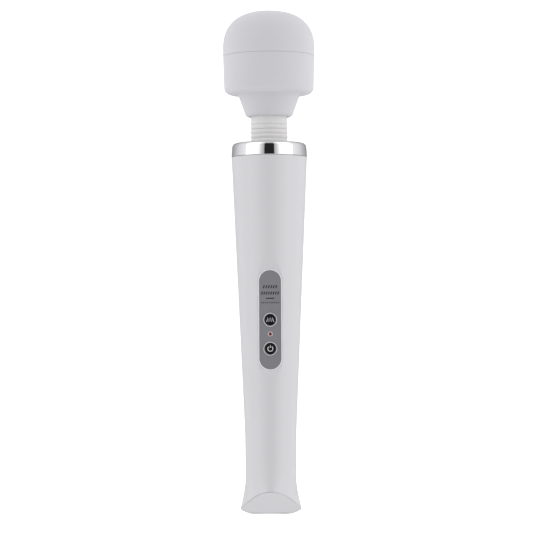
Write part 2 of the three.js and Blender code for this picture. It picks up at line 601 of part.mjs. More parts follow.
function makeMotor() {
  const shaftHole = SHAFT.radius + SHAFT.play;
  const bellTop = bellBottom + MOTOR.bell;
  const bell = turned([[0, bellBottom], [MOTOR.radius, bellBottom], [MOTOR.radius, bellTop], [shaftHole, bellTop],
    [shaftHole, bellBottom + MOTOR.bell / 2], [0, bellBottom + MOTOR.bell / 2]], SIDES.neck);
  piece('motor_end_bell', bell, darkRubber);

  const inside = MOTOR.radius - MOTOR.canWall;
  const bearingHole = MOTOR.bearing.radius + FIT;
  const roof = canTop - MOTOR.canWall;
  const noseTop = canTop + MOTOR.noseHeight;
  const can = turned([[inside, canBottom], [MOTOR.radius, canBottom], [MOTOR.radius, canTop],
    [MOTOR.noseRadius, canTop], [MOTOR.noseRadius, noseTop], [bearingHole, noseTop], [bearingHole, roof],
    [inside, roof]], SIDES.neck);
  piece('motor_can', can, steel);
  piece('motor_bearing', washer(shaftHole, MOTOR.bearing.radius, noseTop - MOTOR.bearing.length, noseTop), brass);

  const middle = (canBottom + roof) / 2;
  const half = MOTOR.armature.length / 2;
  const magnetOut = inside - GAP;
  const magnetIn = magnetOut - MOTOR.magnet;
  piece('motor_magnet', washer(magnetIn, magnetOut, middle - half, middle + half, SIDES.neck), darkRubber);

  const shaftTop = noseTop + SHAFT.reach;
  piece('motor_shaft', rod(SHAFT.radius, bellBottom + MOTOR.bell / 2 + GAP, shaftTop), steel);
  const armatureRadius = magnetIn - MOTOR.armature.airGap;
  piece('motor_armature', washer(SHAFT.radius + FIT, armatureRadius, middle - half, middle + half), copper);

  // The weight is a half disc and a hub, clamped on the shaft by a grub screw through the hub's light side.
  const heavy = new THREE.Shape().absarc(0, 0, WEIGHT.radius, 0, Math.PI, false);
  const disc = prism(heavy, weightBottom, weightBottom + WEIGHT.height, 10);
  const hub = rod(WEIGHT.hubRadius, weightBottom, weightBottom + WEIGHT.height);
  const bore = rod(SHAFT.radius + FIT, weightBottom - OVERRUN, weightBottom + WEIGHT.height + OVERRUN);
  const middleHeight = weightBottom + WEIGHT.height / 2;
  const grubHole = crossRod(GRUB.radius + FIT, -WEIGHT.radius, -SHAFT.radius, middleHeight);
  piece('eccentric_weight', cut(join(disc, hub), bore, grubHole), brass);
  const grubTip = SHAFT.radius + GAP;
  piece('weight_set_screw', crossRod(GRUB.radius, -grubTip - GRUB.length, -grubTip, middleHeight), steel);

  const ring = (bottom) =>
    washer(MOTOR.radius + GAP, coreInside - GAP, bottom, bottom + DAMPER.height, SIDES.core);
  const spigotEnd = coreSplit - CORE.spigot.height;
  piece('motor_damper_lower', ring(bellBottom + DAMPER.lift), darkRubber);
  piece('motor_damper_upper', ring(spigotEnd - GAP - DAMPER.height), darkRubber);
}

// ---- Fasteners, the charging contacts and the leads ----

function makeFasteners() {
  const seat = BOSS.split + GAP + BOSS.floor + GAP;
  bossHeights.forEach((height, i) => {
    const shank = crossRod(SHELL_SCREW.radius, seat - SHELL_SCREW.length, seat + OVERRUN, height);
    const head = crossRod(SHELL_SCREW.headRadius, seat, seat + SHELL_SCREW.headHeight, height);
    piece(`shell_screw_${i + 1}`, join(shank, head), steel);
    const top = handleRadius(height) - PLUG.recess;
    const plug = crossRod(SHELL_SCREW.well - GAP, top - PLUG.length, top, height);
    const clear = tailEdge.clone().addScaledVector(restNormal, -GAP);
    piece(`screw_plug_${i + 1}`, cut(plug, beyond(clear, restNormal)), neckRubber);
  });
}

function makePort() {
  const surface = handleRadius(PORT.at);
  const face = prism(portShape(0), surface - PORT.depth, surface + OVERRUN);
  const holes = [-1, 1].map((side) =>
    rod(PORT.pinRadius + FIT, surface - PORT.depth - OVERRUN, surface + 2 * OVERRUN)
      .translate(0, (side * PORT.pinSpacing) / 2, 0));
  const flush = handleForm(PORT.recess, HANDLE.length, SIDES.handle);
  piece('charge_port_frame', common(acrossBack(cut(face, ...holes), PORT.at), flush), panelGrey);
  [-1, 1].forEach((side, i) => {
    const top = surface - 2 * PORT.recess;
    const pin = rod(PORT.pinRadius, top - PORT.pinLength, top).translate(0, (side * PORT.pinSpacing) / 2, 0);
    piece(`charge_contact_${i + 1}`, acrossBack(pin, PORT.at), brass);
  });
}

function makeLeads() {
  // Each lead comes round an end of the board (-1 low, 1 high) and stops just above its top.
  const boardEnd = BOARD.length / 2;
  const ontoBoard = (x, end, radius) => {
    const above = -boardTop + GAP + radius;
    const route = [[x, end * (boardEnd + 5 * radius), above - 2 * radius],
      [x, end * (boardEnd + 1.5 * radius), above + FIT], [x, end * (boardEnd - 2 * radius), above]];
    return route.map((point) => new THREE.Vector3(...point).applyMatrix4(panelFrame).toArray());
  };
  const { thin, thick, clear, apart, bend } = LEAD;
  const overCell = (height) => cellBack - CELL.radius - clear - (height - trayStart) * HANDLE.taper;
  const low = trayStart - bend / 2;
  const high = trayEnd + bend / 2;
  const beside = PANEL.radius - 1;
  const rise = CELL.start + CELL.length / 3;

  const pinEnd = handleRadius(PORT.at) - 2 * PORT.recess - PORT.pinLength - GAP - thin;
  piece('charge_lead', lead(thin, [[-PORT.pinSpacing / 2, pinEnd, PORT.at], [-beside, 0, PORT.at + bend],
    [-beside, overCell(low), low], [-apart, overCell(rise), rise], ...ontoBoard(-apart, -1, thin)]), leadRed);
  piece('battery_lead_black', lead(thin, [[apart, cellBack, low], [beside, overCell(low) / 2, low - bend],
    [beside, overCell(low), low], [apart, overCell(rise), rise], ...ontoBoard(apart, -1, thin)]), black);
  piece('battery_lead_red', lead(thin, [[-apart, cellBack, high], [-apart - clear, -2 * clear, high + bend],
    ...ontoBoard(-apart, 1, thin)]), leadRed);

  const baseUnder = baseBottom - 2 * GAP;
  const pastBoss = BOSS.backRadius + bend;
  const boss = HANDLE.length - BOSS.fromTop;
  piece('motor_lead_lower', lead(thick, [[0, 0, lowerFlangeBottom - GAP], [clear / 2, 0, baseUnder],
    [pastBoss, -clear, boss + BOSS.frontRadius], [pastBoss, -3 * clear, boss - BOSS.pilot],
    ...ontoBoard(apart, 1, thick)]), darkRubber);
  const neckHeights = [0, 1, 2, 3, 4].map((i) => lowerFlangeBottom + ((bellBottom - GAP - lowerFlangeBottom) * i) / 4);
  piece('motor_lead_neck', lead(thick, neckHeights.map((height) => [0, 0, height])), darkRubber);
}

makeTailCap();
makeFrontShell();
makeBackShell();
makeBattery();
makePanel();
makeButton('mode', MODE_BUTTON_AT);
makeButton('power', POWER_BUTTON_AT);
makeIndicator();
makeBoard();
makeRing();
makeNeckBase();
makeBellows();
makeNeckClamp();
makeSilicone();
makeCore();
makeMotor();
makeFasteners();
makePort();
makeLeads();

// ---- Laid down, with the origin under the middle of its box ----

wand.rotation.x = -Math.PI / 2 + restTilt;
const massager = new THREE.Group();
massager.add(wand);
massager.updateMatrixWorld(true);
const bounds = new THREE.Box3().setFromObject(massager, true);
const middle = bounds.getCenter(new THREE.Vector3());
wand.position.set(-middle.x, -middle.y, -bounds.min.z);

export default massager;
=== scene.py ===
"""A cordless handheld wand massager, lying on its back, with its controls facing up."""

import json
import math

import bpy
from mathutils import Matrix, Vector


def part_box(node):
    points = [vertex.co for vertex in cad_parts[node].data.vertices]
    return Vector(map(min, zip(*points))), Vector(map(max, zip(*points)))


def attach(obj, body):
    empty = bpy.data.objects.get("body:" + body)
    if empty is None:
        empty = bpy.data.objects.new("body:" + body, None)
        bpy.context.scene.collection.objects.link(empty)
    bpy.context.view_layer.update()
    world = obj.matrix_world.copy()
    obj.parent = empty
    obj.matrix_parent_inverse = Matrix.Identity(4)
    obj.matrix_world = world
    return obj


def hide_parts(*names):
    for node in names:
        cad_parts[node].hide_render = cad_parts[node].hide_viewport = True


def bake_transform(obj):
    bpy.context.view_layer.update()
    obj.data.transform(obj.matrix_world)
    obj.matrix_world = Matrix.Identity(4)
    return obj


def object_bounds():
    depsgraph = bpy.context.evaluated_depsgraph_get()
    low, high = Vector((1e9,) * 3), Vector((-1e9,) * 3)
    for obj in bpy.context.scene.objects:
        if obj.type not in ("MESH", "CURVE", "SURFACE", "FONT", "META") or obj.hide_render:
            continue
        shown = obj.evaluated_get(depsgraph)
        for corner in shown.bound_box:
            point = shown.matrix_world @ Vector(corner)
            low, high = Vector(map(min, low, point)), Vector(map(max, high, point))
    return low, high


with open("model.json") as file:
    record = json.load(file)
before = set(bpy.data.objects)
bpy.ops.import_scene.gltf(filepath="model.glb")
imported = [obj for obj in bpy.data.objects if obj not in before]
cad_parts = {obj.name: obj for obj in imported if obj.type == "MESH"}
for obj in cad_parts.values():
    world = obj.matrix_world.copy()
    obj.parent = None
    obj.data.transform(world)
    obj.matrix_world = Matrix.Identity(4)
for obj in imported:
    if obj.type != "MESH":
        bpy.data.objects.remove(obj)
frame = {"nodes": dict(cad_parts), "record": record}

CAD_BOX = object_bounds()
MM = 0.001
record = frame["record"]
joints = {joint["name"]: joint for joint in record["behaviour"]["joints"]}

# ---- The wand's own frame: X right, Y to the back, Z from the tail to the head ----

along = Vector(joints["motor_spin"]["axis"]).normalized()
outward = Vector(joints["neck_sway"]["axis"]).normalized()
neck = Vector(joints["neck_tilt"]["pos_m"])
tail_edge = Vector((0, CAD_BOX[0][1], CAD_BOX[0][2]))
neck_height = (neck - tail_edge).dot(along)
tail = neck - along * neck_height
right = Vector((1, 0, 0))
WAND = Matrix.Translation(tail) @ Matrix((right, -outward, along)).transposed().to_4x4()
TO_WAND = WAND.inverted()


def ends(node):
    """The heights along the wand at which a round node starts and ends, from its box and the wand's tilt."""
    low, high = (Vector(corner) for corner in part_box(node))
    half = (high - low) / 2
    middle = (TO_WAND @ ((low + high) / 2)).z
    reach = (half.y * along.y - half.z * along.z) / (along.y ** 2 - along.z ** 2)
    return middle - reach, middle + reach


# ---- Sizes, in metres ----

# Handle
GRIP_RADIUS = 15.95 * MM
TAPER = 0.0445
TAPER_START = 47.3 * MM
TAPER_BLEND = 8 * MM
HANDLE_TOP = 226.35 * MM
SHELL_WALL = 1.9 * MM
SEAM_ANGLE = math.radians(0.12)
# Tail
FLARE_START = 29 * MM
FLARE_LENGTH = 25.5 * MM
FLARE_POWER = 1.5
TAIL_SLANT = math.radians(24)
TAIL_PLATE = 0.55 * MM
TAIL_SEAM = 0.03 * MM
TAIL_EDGE = 0.3 * MM
# The directions that the tail's faces look in, in degrees from the front, and how far each stands out, in mm.
TAIL_FACES = [(0, 1.6), (54, -3.4), (-54, -3.4), (133.5, 3.6), (-133.5, 3.6), (180, -1)]
TAIL_CORNER_POWER = 12
REST_DEPTH = (TO_WAND @ tail_edge).y
REST_SLOPE = -(TO_WAND.to_3x3() @ Vector((0, 0, 1))).z / (TO_WAND.to_3x3() @ Vector((0, 0, 1))).y
# Ring and neck
RING_RADIUS = 24 * MM
RING_TOP_RADIUS = 23.6 * MM
RING_BOTTOM = 226.5 * MM
RING_SHOULDER = 235.3 * MM
RING_TOP = 235.8 * MM
RING_CORNER = 2.5 * MM
RING_WALL = 1.7 * MM
RING_WEB = (227.6 * MM, 233 * MM)
RING_POCKET = 14.2 * MM
SPIGOT_BOTTOM = 221 * MM
SPIGOT_PLAY = 0.4 * MM
NECK_RADIUS = 11.75 * MM
RIB_DEPTH = 0.75 * MM
RIBS_LOW = 235.5 * MM
RIBS_HIGH = 249.4 * MM
RIB_PITCH = 3 * MM
NECK_BORE = 6.5 * MM
NECK_PLAY = 0.15 * MM
FLANGE_RADIUS = 15.2 * MM
FLANGE_THICKNESS = 2.5 * MM
FLANGE_CLEAR = 2.6 * MM
LEAD_RADIUS = 0.9 * MM
# Head
HEAD_RADIUS = 29.2 * MM
HEAD_TOP = 320 * MM
DOME_HEIGHT = 25.2 * MM
DOME_POWER = 2.5
HEAD_SEAM = 291.1 * MM
SEAM_STEP = 0.16 * MM
SEAM_ROUND = 0.5 * MM
SEAM_DEPTH = 0.16 * MM
SLEEVE_DRAFT = 0.5 * MM
UNDERSIDE = 266.7 * MM
UNDERSIDE_RISE = 0.1 * MM
SLEEVE_CORNER = 4.3 * MM
SILICONE = 3.4 * MM
SKIRT_TOP_RADIUS = 19.3 * MM
SKIRT_LIP_RADIUS = 15.3 * MM
SKIRT_BOTTOM = 252.3 * MM
SKIRT_ROUND = 2.6 * MM
LIP_FLARE = 1.1 * MM
VALLEY = 0.6 * MM
CORE_GAP = 0.25 * MM
CLAMP_POCKET = 15.6 * MM
CORE_CORNER = 1.6 * MM
# Controls
PANEL_CENTRE = 122.5 * MM
PANEL_LENGTH = 62.4 * MM
PANEL_RADIUS = 6.88 * MM
PANEL_THICKNESS = 1.4 * MM
RIM_WIDTH = 0.7 * MM
RIM_PROUD = 0.2 * MM
LAND_HALF_WIDTH = PANEL_RADIUS + RIM_WIDTH
SLOPE_ABOVE = 4.07
SLOPE_BELOW = 2.14
LAND_SOFTNESS = 0.18 * MM
HAIRLINE = 0.05 * MM
BUTTON_RADIUS = 3.75 * MM
BUTTON_PROUD = 0.7 * MM
BUTTON_RING = (3.85 * MM, 4.3 * MM)
MODE_AT = 0.0
POWER_AT = -18.2 * MM
LED_AT = -8.95 * MM
LED_RADIUS = 1.15 * MM
LED_RING = (1.2 * MM, 1.5 * MM)
PRINT_HEIGHT = 0.03 * MM
CUT_DEPTH = 5 * MM
# Back
BACK_CUT = 30 * MM
WELL_RADIUS = 3.05 * MM
PLUG_RADIUS = 2.98 * MM
PLUG_LENGTH = 4 * MM
PLUG_SUNK = 0.45 * MM
CONTACT_FRAME = (3.05 * MM, 12.1 * MM)
CONTACT_SPACING = 2.8 * MM
CONTACT_HOLE = 1.32 * MM
CONTACT_RADIUS = 1.25 * MM


def handle_radius(height):
    """The round handle's radius: an even taper that runs out into the grip."""
    run = height - TAPER_START
    return GRIP_RADIUS + TAPER * (run + math.hypot(run, TAPER_BLEND)) / 2


def section_radius(angle, height):
    """The radius at an angle from the front; near the tail the round section grows faces."""
    circle = handle_radius(height)
    if height >= FLARE_START:
        return circle
    flare = ((FLARE_START - height) / FLARE_LENGTH) ** FLARE_POWER
    faced = [(max(0, math.cos(angle - math.radians(facing))), GRIP_RADIUS + out * MM)
             for facing, out in TAIL_FACES]
    pull = sum((towards / reach) ** TAIL_CORNER_POWER for towards, reach in faced)
    return circle + flare * (pull ** (-1 / TAIL_CORNER_POWER) - circle)


def slanted_height(angle, lift=0.0):
    """Where the plane of the tail's face, lifted towards the head, meets the handle's surface."""
    height = 0.0
    for _ in range(12):
        front = section_radius(angle, height) * math.cos(angle)
        height = (REST_DEPTH + front) * math.tan(TAIL_SLANT) + lift / math.cos(TAIL_SLANT)
    return height


def land_depth(height):
    return math.sqrt(handle_radius(height) ** 2 - LAND_HALF_WIDTH ** 2)


LAND_TILT = math.atan((land_depth(PANEL_CENTRE + MM) - land_depth(PANEL_CENTRE - MM)) / (2 * MM))
LAND = (Matrix.Translation((0, -land_depth(PANEL_CENTRE), PANEL_CENTRE))
        @ Matrix.Rotation(math.pi / 2 + LAND_TILT, 4, "X"))
TO_LAND = LAND.inverted()
PANEL_STRAIGHT = PANEL_LENGTH / 2 - PANEL_RADIUS


def land_limit(x, y):
    """How high the handle's surface may stand above the land at a place on it."""
    beyond = abs(y) - PANEL_STRAIGHT
    if beyond <= 0:
        return max(0, abs(x) - LAND_HALF_WIDTH) * 3
    distance = max(0, math.hypot(x, beyond) - LAND_HALF_WIDTH)
    return distance / (SLOPE_ABOVE if y > 0 else SLOPE_BELOW)


def surface_point(angle, height):
    """A point of the handle's outside, with the land in its front and the flat at the back of its tail."""
    radius = section_radius(angle, height)
    point = Vector((radius * math.sin(angle), -radius * math.cos(angle), height))
    point.y = min(point.y, REST_DEPTH + height * REST_SLOPE)
    if math.cos(angle) > 0.5:
        local = TO_LAND @ point
        if abs(local.y) < PANEL_LENGTH:
            limit = land_limit(local.x, local.y)
            local.z = (local.z + limit - math.hypot(local.z - limit, LAND_SOFTNESS)) / 2
            point = LAND @ local
    return point


# ---- Shader nodes ----


class Wire:
    """A value in a node tree; arithmetic on it adds Math nodes."""

    def __init__(self, graph, socket):
        self.graph = graph
        self.socket = socket

    def math(self, operation, other):
        return self.graph.node("ShaderNodeMath", {"operation": operation}, {0: self, 1: other})

    def __add__(self, other):
        return self.math("ADD", other)

    def __mul__(self, other):
        return self.math("MULTIPLY", other)

    __radd__ = __add__
    __rmul__ = __mul__


class Graph:
    """A node tree that a finish, a lamp or the surroundings is wired up in."""

    def __init__(self, owner):
        owner.use_nodes = True
        self.tree = owner.node_tree

    def feed(self, socket, value):
        """Links a wire to a socket, or sets the socket's own value."""
        if isinstance(value, Wire):
            self.tree.links.new(value.socket, socket)
        else:
            socket.default_value = value

    def node(self, kind, settings=None, inputs=None, output=0):
        """Adds a node, with its settings made first and then its sockets' values or links."""
        made = self.tree.nodes.new(kind)
        for name, value in (settings or {}).items():
            if name == "easing":
                made.color_ramp.interpolation = value
            elif name == "stops":
                stops = made.color_ramp.elements
                while len(stops) < len(value):
                    stops.new(0.5)
                for stop, (position, colour) in zip(stops, value):
                    stop.position = position
                    stop.color = (*colour, 1)
            else:
                setattr(made, name, value)
        for name, value in (inputs or {}).items():
            self.feed(made.inputs[name], value)
        return Wire(self, made.outputs[output])


class Finish(Graph):
    """A material with one Principled shader, and the nodes that vary it."""

    def __init__(self, name, colour, roughness, **sockets):
        self.material = bpy.data.materials.new(name)
        super().__init__(self.material)
        self.shader = self.tree.nodes["Principled BSDF"]
        self.set("Base Color", (*colour, 1))
        self.set("Roughness", roughness)
        for socket, value in sockets.items():
            self.set(socket.replace("_", " "), value)
        self.place = self.node("ShaderNodeTexCoord", output="Object")

    def set(self, socket, value):
        self.feed(self.shader.inputs[socket], value)

    def noise(self, scale, detail=2.0, place=None):
        return self.node("ShaderNodeTexNoise", None,
                         {"Vector": place or self.place, "Scale": scale, "Detail": detail, "Roughness": 0.5})

    def mix(self, factor, first, second):
        """One colour drifting into another; the colours of this node are its inputs 6 and 7."""
        colours = {0: factor, 6: (*first, 1), 7: (*second, 1)}
        return self.node("ShaderNodeMix", {"data_type": "RGBA"}, colours, 2)

    def vary(self, first, second, scale, detail=2.0):
        """The colour drifts between two close tones."""
        self.set("Base Color", self.mix(self.noise(scale, detail), first, second))

    def vary_roughness(self, low, high, scale):
        self.set("Roughness", low + self.noise(scale, 3.0) * (high - low))

    def bump(self, height, distance, strength):
        self.set("Normal", self.node("ShaderNodeBump", None,
                                     {"Strength": strength, "Distance": distance, "Height": height}))

    def stretched(self, stretch):
        """The piece's place, stretched along its axes, for brushed and grained surfaces."""
        return self.node("ShaderNodeMapping", None, {"Vector": self.place, "Scale": stretch})


# ---- Camera, light and floor ----

CAMERA_DISTANCE = 2.0
CAMERA_FOOT = 52.4 * MM
AIM_HEIGHT = 157.0 * MM
AIM_RIGHT = -2.15 * MM
CAMERA_ROLL = math.radians(0.3)
LENS = 212.9
BOX_ANGLE = math.radians(45)
BOX_DISTANCE = 1.1
BOX_WIDTH = 1.26
BOX_LENGTH = 3.2
LEFT_POWER = 16.4
RIGHT_POWER = 17.712
BOX_TOWARD_HEAD = 0.05
BOX_AIM = 160 * MM
FLOOR_SIZE = 24
FLOOR_GAP = 0.05 * MM
# How bright each softbox is across its width, from its outer edge to the edge over the wand.
BOX_SHADES = [(0.0, 0.62), (0.28, 0.88), (0.6, 0.84), (1.0, 0.34)]
# How bright the surroundings are, from straight below to straight above.
WORLD_SHADES = [(0.0, 0.3), (0.12, 0.42), (0.35, 0.75), (0.62, 0.95), (0.85, 0.3), (0.95, 0.02)]
WORLD_BLUE = 1.02


def look(obj, place, target, up):
    """Puts obj at place, looking at target, with up towards the top of its view."""
    back = (place - target).normalized()
    side = up.cross(back).normalized()
    axes = Matrix((side, back.cross(side), back)).transposed()
    obj.matrix_world = Matrix.Translation(place) @ axes.to_4x4()


def add_camera():
    camera = bpy.data.objects.new("camera", bpy.data.cameras.new("camera"))
    bpy.context.scene.collection.objects.link(camera)
    camera.data.lens = LENS
    camera.data.sensor_width = 36
    camera.data.clip_end = 20
    place = WAND @ Vector((AIM_RIGHT, -CAMERA_DISTANCE, CAMERA_FOOT))
    target = WAND @ Vector((AIM_RIGHT, 0, AIM_HEIGHT))
    look(camera, place, target, along)
    camera.matrix_world = camera.matrix_world @ Matrix.Rotation(-CAMERA_ROLL, 4, "Z")
    bpy.context.scene.camera = camera


def add_softbox(name, side, power):
    """A long soft light on one side of the wand, brightest in its middle and dimmer towards the top."""
    lamp = bpy.data.lights.new(name, "AREA")
    lamp.shape = "RECTANGLE"
    lamp.size = BOX_WIDTH
    lamp.size_y = BOX_LENGTH
    lamp.energy = power
    graph = Graph(lamp)
    across = graph.node("ShaderNodeSeparateXYZ", None,
                        {0: graph.node("ShaderNodeNewGeometry", output="Parametric")}, "X")
    stops = sorted((position if side < 0 else 1 - position, (light,) * 3) for position, light in BOX_SHADES)
    shade = graph.node("ShaderNodeValToRGB", {"easing": "EASE", "stops": stops}, {0: across})
    graph.feed(graph.tree.nodes["Emission"].inputs["Strength"], shade)
    obj = bpy.data.objects.new(name, lamp)
    bpy.context.scene.collection.objects.link(obj)
    target = WAND @ Vector((0, 0, BOX_AIM))
    turn = Matrix.Rotation(side * BOX_ANGLE, 4, "Y")
    place = target + turn @ Vector((0, 0, BOX_DISTANCE)) + Vector((0, BOX_TOWARD_HEAD, 0))
    look(obj, place, target, Vector((0, 1, 0)))


def add_world():
    """Surroundings that are dark overhead, light round the horizon and dimmer below it."""
    world = bpy.data.worlds.new("studio")
    graph = Graph(world)
    up = graph.node("ShaderNodeSeparateXYZ", None,
                    {0: graph.node("ShaderNodeTexCoord", output="Generated")}, "Z")
    stops = [(position, (light, light, light * WORLD_BLUE)) for position, light in WORLD_SHADES]
    shade = graph.node("ShaderNodeValToRGB", {"stops": stops}, {0: up * 0.5 + 0.5})
    graph.feed(graph.tree.nodes["Background"].inputs["Color"], shade)
    bpy.context.scene.world = world


def add_studio():
    add_softbox("softbox_left", -1, LEFT_POWER)
    add_softbox("softbox_right", 1, RIGHT_POWER)
    add_world()
    bpy.context.scene.view_settings.view_transform = "Standard"
    bpy.ops.object.select_all(action="DESELECT")
    bpy.ops.mesh.primitive_plane_add(size=FLOOR_SIZE, location=(0, 0, CAD_BOX[0][2] - FLOOR_GAP))
    floor = bpy.context.object
    floor.name = "floor"
    floor.data.materials.append(floor_finish())
    floor.visible_glossy = False


# ---- Finishes ----


def floor_finish():
    floor = Finish("floor_white", (0.86, 0.86, 0.86), 0.9, Specular_IOR_Level=0.0,
                   Emission_Color=(1, 1, 1, 1), Emission_Strength=0.5)
    floor.vary((0.85, 0.85, 0.85), (0.87, 0.87, 0.87), 3)
    return floor.material


def silicone_finish():
    """Matte silicone: a fine powdery grain and the slightest cloudiness."""
    finish = Finish("silicone", (0.56, 0.555, 0.58), 0.6, Sheen_Weight=0.12, Sheen_Roughness=0.5)
    finish.vary((0.575, 0.57, 0.597), (0.597, 0.592, 0.616), 60)
    finish.vary_roughness(0.55, 0.66, 300)
    grain = finish.noise(4200, 2) * 0.7 + finish.noise(900, 2) * 0.3
    finish.bump(grain, 0.03 * MM, 0.25)
    return finish.material


def neck_finish():
    finish = Finish("neck_rubber", (0.7, 0.69, 0.685), 0.48)
    finish.vary((0.69, 0.678, 0.672), (0.715, 0.706, 0.7), 140)
    finish.vary_roughness(0.42, 0.55, 500)
    finish.bump(finish.noise(3000, 2), 0.02 * MM, 0.25)
    return finish.material


def shell_finish():
    """Sprayed silver-white plastic: a fine pearl fleck under a satin lacquer with a faint orange peel."""
    finish = Finish("sprayed_shell", (0.57, 0.56, 0.58), 0.4, Coat_Weight=0.35, Coat_Roughness=0.22)
    fleck = finish.noise(9000, 1)
    drift = finish.noise(25, 2)
    pearl = finish.mix(fleck * 0.5 + drift * 0.5, (0.60, 0.592, 0.61), (0.625, 0.617, 0.635))
    finish.set("Base Color", pearl)
    finish.vary_roughness(0.38, 0.46, 800)
    finish.bump(finish.noise(650, 2), 0.012 * MM, 0.3)
    return finish.material


def chrome_finish():
    finish = Finish("chrome_plate", (0.86, 0.86, 0.87), 0.06, Metallic=1.0)
    finish.vary((0.85, 0.85, 0.86), (0.88, 0.88, 0.885), 90)
    finish.set("Roughness", 0.04 + finish.noise(500, 4) * 0.05)
    finish.bump(finish.noise(260, 1), 0.004 * MM, 0.15)
    return finish.material


def panel_finish():
    """Grey plastic with a fine spark-eroded grain."""
    finish = Finish("panel_grey", (0.2, 0.2, 0.215), 0.45)
    finish.vary((0.19, 0.189, 0.205), (0.212, 0.211, 0.228), 900, 3)
    finish.vary_roughness(0.4, 0.52, 1500)
    finish.bump(finish.noise(5200, 3), 0.02 * MM, 0.4)
    return finish.material


def rim_finish():
    finish = Finish("silver_rim", (0.8, 0.8, 0.82), 0.3)
    finish.vary((0.78, 0.78, 0.8), (0.83, 0.83, 0.85), 700)
    finish.vary_roughness(0.22, 0.34, 1200)
    finish.bump(finish.noise(2200, 2), 0.006 * MM, 0.2)
    return finish.material


def plain_finish(name, light, dark, rough, scale, grain=0.02, metallic=0.0, coat=0.0, stretch=(1, 1, 1)):
    """A finish that drifts between two tones with a roughness range and a grain of its own."""
    finish = Finish(name, light, rough[0], Metallic=metallic, Coat_Weight=coat)
    place = finish.stretched(stretch)
    drift = finish.noise(scale, 3, place=place)
    finish.set("Base Color", finish.mix(drift, light, dark))
    finish.set("Roughness", rough[0] + drift * (rough[1] - rough[0]))
    finish.bump(finish.noise(scale * 4, 2, place=place), grain * MM, 0.3)
    return finish.material


FINISHES = {
    "silicone": silicone_finish(),
    "neck_rubber": neck_finish(),
    "gloss_shell": shell_finish(),
    "bright_ring": chrome_finish(),
    "panel_grey": panel_finish(),
    "rim": rim_finish(),
    "key_black": plain_finish("key_black", (0.006, 0.0065, 0.0065), (0.012, 0.012, 0.013), (0.14, 0.24),
                              600, 0.006, coat=0.6),
    "led_red": plain_finish("led_red", (0.22, 0.008, 0.01), (0.11, 0.004, 0.006), (0.08, 0.16),
                            1500, 0.004, coat=1.0),
    "core_plastic": plain_finish("core_plastic", (0.6, 0.58, 0.54), (0.56, 0.54, 0.5), (0.42, 0.55),
                                 300),
    "steel": plain_finish("steel", (0.58, 0.59, 0.6), (0.48, 0.49, 0.5), (0.25, 0.42), 400, 0.01, 1.0,
                          stretch=(1, 12, 1)),
    "brass": plain_finish("brass", (0.72, 0.52, 0.24), (0.6, 0.42, 0.18), (0.22, 0.38), 400, 0.01, 1.0),
    "copper": plain_finish("copper", (0.62, 0.3, 0.17), (0.45, 0.2, 0.11), (0.25, 0.45), 900, 0.05, 0.9,
                           stretch=(1, 1, 8)),
    "board": plain_finish("board", (0.015, 0.13, 0.05), (0.02, 0.18, 0.07), (0.3, 0.45), 700, 0.01, coat=0.3),
    "cell": plain_finish("cell_sleeve", (0.03, 0.12, 0.38), (0.025, 0.1, 0.32), (0.25, 0.4),
                         200, 0.02, coat=0.2),
    "dark_rubber": plain_finish("dark_rubber", (0.02, 0.02, 0.021), (0.03, 0.03, 0.031), (0.6, 0.8),
                                600, 0.03),
    "lead_red": plain_finish("lead_red", (0.42, 0.02, 0.02), (0.34, 0.016, 0.016), (0.35, 0.5), 800, 0.01),
    "print_dark": plain_finish("print_dark", (0.012, 0.012, 0.016), (0.02, 0.02, 0.024), (0.5, 0.6),
                               2000, 0.002),
    "print_light": plain_finish("print_light", (0.62, 0.63, 0.64), (0.56, 0.57, 0.58), (0.4, 0.5),
                                2000, 0.002),
}

# ---- Modelling ----

SAME_POINT = 2e-7


def pick_only(obj):
    bpy.ops.object.select_all(action="DESELECT")
    obj.select_set(True)
    bpy.context.view_layer.objects.active = obj


def apply(obj, modifier):
    pick_only(obj)
    bpy.ops.object.modifier_apply(modifier=modifier.name)


def settle(obj, name, place=WAND):
    """Names a finished solid and puts its place into its mesh."""
    obj.name = name
    obj.data.name = name
    obj.matrix_world = place @ obj.matrix_world
    pick_only(obj)
    bpy.ops.object.transform_apply(location=True, rotation=True, scale=True)


def face_out(obj, smooth_angle=40):
    pick_only(obj)
    bpy.ops.object.mode_set(mode="EDIT")
    bpy.ops.mesh.select_all(action="SELECT")
    bpy.ops.mesh.remove_doubles(threshold=SAME_POINT)
    bpy.ops.mesh.normals_make_consistent(inside=False)
    bpy.ops.object.mode_set(mode="OBJECT")
    bpy.ops.object.shade_smooth_by_angle(angle=math.radians(smooth_angle))


def turned(outline, sides=128, smooth_angle=40):
    """Spins an outline of (radius, height) points about Z, closed unless both ends are on the axis."""
    points = list(outline)
    if points[0][0] > 0 or points[-1][0] > 0:
        points.append(points[0])
    bpy.ops.object.select_all(action="DESELECT")
    bpy.ops.mesh.primitive_plane_add(size=MM)
    obj = bpy.context.object
    bpy.ops.object.mode_set(mode="EDIT")
    bpy.ops.mesh.select_all(action="SELECT")
    bpy.ops.mesh.merge(type="CENTER")
    bpy.ops.transform.translate(value=(points[0][0], 0, points[0][1]))
    for (r0, h0), (r1, h1) in zip(points, points[1:]):
        bpy.ops.mesh.extrude_region_move(TRANSFORM_OT_translate={"value": (r1 - r0, 0, h1 - h0)})
    bpy.ops.mesh.select_all(action="SELECT")
    bpy.ops.mesh.remove_doubles(threshold=SAME_POINT)
    bpy.ops.mesh.spin(steps=sides, angle=2 * math.pi, center=(0, 0, 0), axis=(0, 0, 1))
    bpy.ops.object.mode_set(mode="OBJECT")
    face_out(obj, smooth_angle)
    return obj


